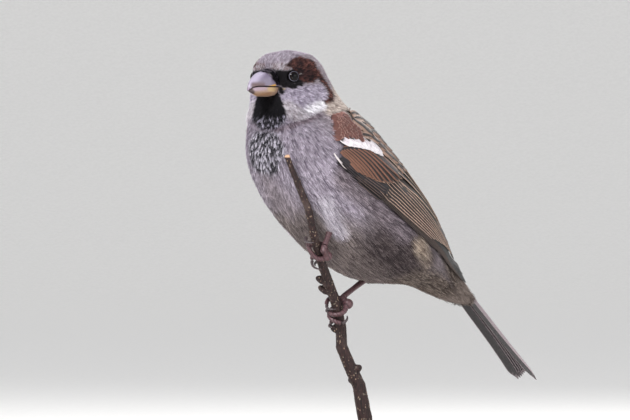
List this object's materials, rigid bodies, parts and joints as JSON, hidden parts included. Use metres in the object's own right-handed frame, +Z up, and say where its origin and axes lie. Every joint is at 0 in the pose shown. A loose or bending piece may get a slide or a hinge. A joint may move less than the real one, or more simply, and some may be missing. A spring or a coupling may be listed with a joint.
{
  "type": "house sparrow",
  "caption": "Life-size male house sparrow in winter plumage, clinging upright to a cut twig on a plain round display stand.",
  "frame": {"origin": "middle of the underside of the stand's base, on the floor", "axes": "+Z up; the bird heads along -X with its left side towards -Y; its middle plane is parallel to XZ"},
  "size_m": [0.1217, 0.082, 0.1509],
  "materials": {
    "plumage_body": "soft contour feathers, grey, black and chestnut",
    "plumage_wing": "overlapping wing feathers, rufous edges on dark centres, one white bar",
    "plumage_tail": "long dark tail feathers with pale edges",
    "eye": "wet dark brown",
    "bill": "grey horn, yellow at the gape",
    "leg_skin": "scaled, pinkish brown",
    "claw": "grey horn",
    "twig_bark": "dark bark with pale pores",
    "stand_wood": "satin turned wood",
    "stand_metal": "brushed"
  },
  "bodies": {
    "root": {"bill_lower": "bill", "bill_upper": "bill", "claw_hind_left": "claw", "claw_hind_right": "claw", "claw_inner_left": "claw", "claw_inner_right": "claw", "claw_middle_left": "claw", "claw_middle_right": "claw", "claw_outer_left": "claw", "claw_outer_right": "claw", "eye_left": "eye", "eye_right": "eye", "foot_left": "leg_skin", "foot_right": "leg_skin", "head": "plumage_body", "neck": "plumage_body", "perch_twig": "twig_bark", "rump": "plumage_body", "shank_left": "leg_skin", "shank_right": "leg_skin", "stand_base": "stand_wood", "stand_rod": "stand_metal", "tail": "plumage_tail", "thigh_left": "plumage_body", "thigh_right": "plumage_body", "trunk": "plumage_body", "wing_coverts_left": "plumage_wing", "wing_coverts_right": "plumage_wing", "wing_primaries_left": "plumage_wing", "wing_primaries_right": "plumage_wing", "wing_tertials_left": "plumage_wing", "wing_tertials_right": "plumage_wing"}
  },
  "joints": []
}
